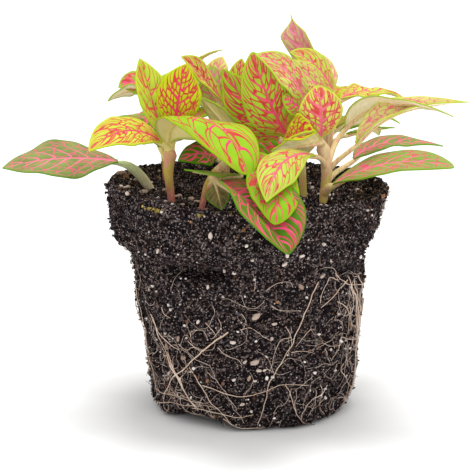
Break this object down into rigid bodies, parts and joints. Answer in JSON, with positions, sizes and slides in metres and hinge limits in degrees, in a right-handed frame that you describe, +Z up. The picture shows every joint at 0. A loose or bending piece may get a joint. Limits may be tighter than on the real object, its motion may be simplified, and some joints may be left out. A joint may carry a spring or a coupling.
{
  "type": "nerve plant with bare root ball",
  "caption": "Young nerve plant with net-veined oval leaves on branching stems, standing on a bare root ball that keeps the collar and taper of its nursery pot.",
  "frame": {"origin": "on the flat face of the root ball's foot, under the middle of its rim", "axes": "+Z up from the foot to the leaves, -Y towards the side seen in the picture, +X to that side's right"},
  "size_m": [0.1637, 0.1298, 0.1417],
  "materials": {
    "potting_mix": "matte",
    "leaf": "satin"
  },
  "bodies": {
    "root": {"root_ball": "potting_mix", "stem_left": "leaf", "stem_low_left": "leaf", "stem_front": "leaf", "stem_centre_left": "leaf", "stem_centre": "leaf", "stem_right": "leaf", "stem_back_right": "leaf", "stem_back_left": "leaf", "stem_back": "leaf", "stem_rear_right": "leaf"}
  },
  "joints": []
}
